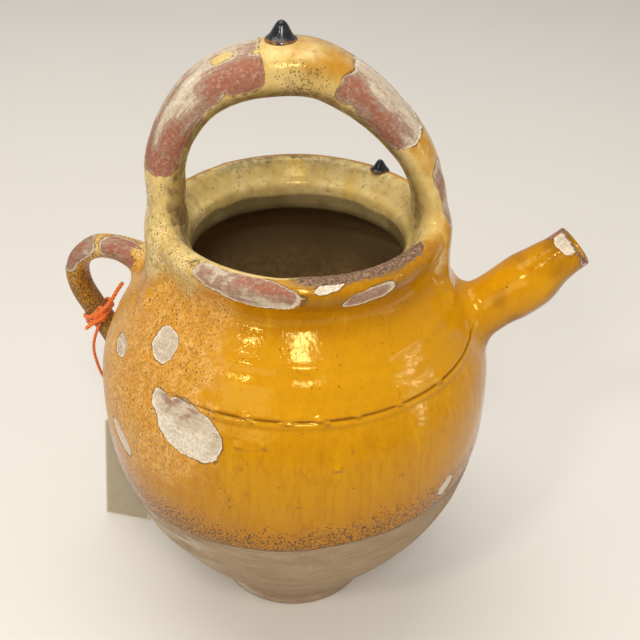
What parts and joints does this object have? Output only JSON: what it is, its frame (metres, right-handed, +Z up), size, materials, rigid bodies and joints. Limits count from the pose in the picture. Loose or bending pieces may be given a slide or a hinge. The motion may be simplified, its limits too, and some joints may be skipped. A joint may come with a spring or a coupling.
{
  "type": "earthenware water jug",
  "caption": "Round-bellied glazed earthenware pouring jug with an open mouth, arched bail handle, side handle, short tube spout and a card tag on a string.",
  "frame": {"origin": "centre of the flat round base, on the surface that the jug stands on", "axes": "+Z up the jug's axis through its mouth, +X towards the spout, +Y to the left when looking along the spout"},
  "size_m": [0.2854, 0.214, 0.342],
  "materials": {
    "ochre_glaze": "glossy golden ochre lead glaze, chipped to slip and red clay, bare clay towards the foot",
    "cream_glaze": "glossy cream-yellow glaze over slip, chipped to red clay",
    "dark_slip": "glossy black",
    "orange_string": "twisted matte cotton",
    "tag_paper": "blank matte card"
  },
  "bodies": {
    "jug": {"lower_body": "ochre_glaze", "shoulder": "ochre_glaze", "collar": "cream_glaze", "bail_handle": "cream_glaze", "side_handle": "ochre_glaze", "spout": "ochre_glaze", "handle_knob": "dark_slip", "rim_knob": "dark_slip", "string_loop": "orange_string", "string_knot": "orange_string"},
    "tag": {"tag_string": "orange_string", "card_loop": "orange_string", "tag_card": "tag_paper"}
  },
  "joints": [
    {"name": "tag_swing", "type": "hinge", "parent": "jug", "child": "tag", "pos_m": [-0.1149, 0.0266, 0.1608], "axis": [0.9848, -0.1736, 0], "range_deg": [-1, 8]}
  ]
}
